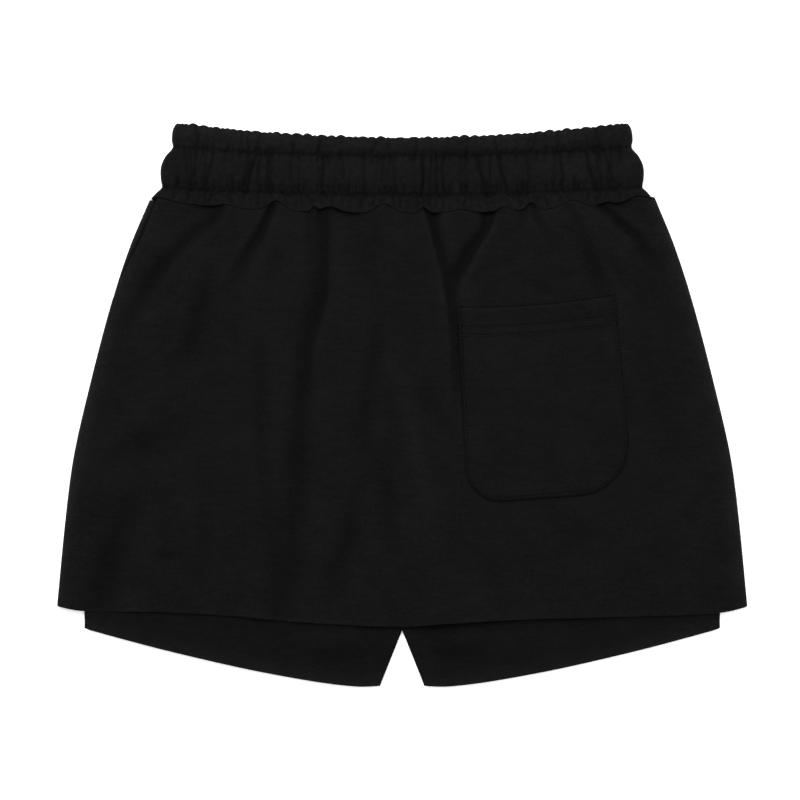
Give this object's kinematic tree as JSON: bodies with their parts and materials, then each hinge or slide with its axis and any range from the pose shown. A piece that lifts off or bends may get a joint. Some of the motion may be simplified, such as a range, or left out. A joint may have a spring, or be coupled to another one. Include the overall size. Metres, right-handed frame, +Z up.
{
  "type": "sweat skirt with inner shorts",
  "caption": "Short A-line sweat skirt with a gathered elastic waistband, a back patch pocket and raw-cut shorts sewn inside, laid flat with its back up.",
  "frame": {"origin": "middle of the flat garment, on the surface it lies on", "axes": "+X across the garment towards the wearer's right, +Y towards the waist, +Z up out of its back"},
  "size_m": [0.4968, 0.4042, 0.0145],
  "materials": {
    "skirt_fleece": "brushed sweatshirt knit, matt black",
    "pocket_fleece": "brushed sweatshirt knit, matt black",
    "waistband_fleece": "brushed sweatshirt knit, gathered over elastic, matt black",
    "shorts_fleece": "brushed sweatshirt knit with raw-cut hems, matt black",
    "sewing_thread": "black polyester thread"
  },
  "bodies": {
    "root": {"skirt_front": "skirt_fleece", "skirt_back": "skirt_fleece", "back_pocket": "pocket_fleece", "shorts_front_left": "shorts_fleece", "shorts_front_right": "shorts_fleece", "shorts_back_left": "shorts_fleece", "shorts_back_right": "shorts_fleece", "waistband": "waistband_fleece"}
  },
  "joints": []
}
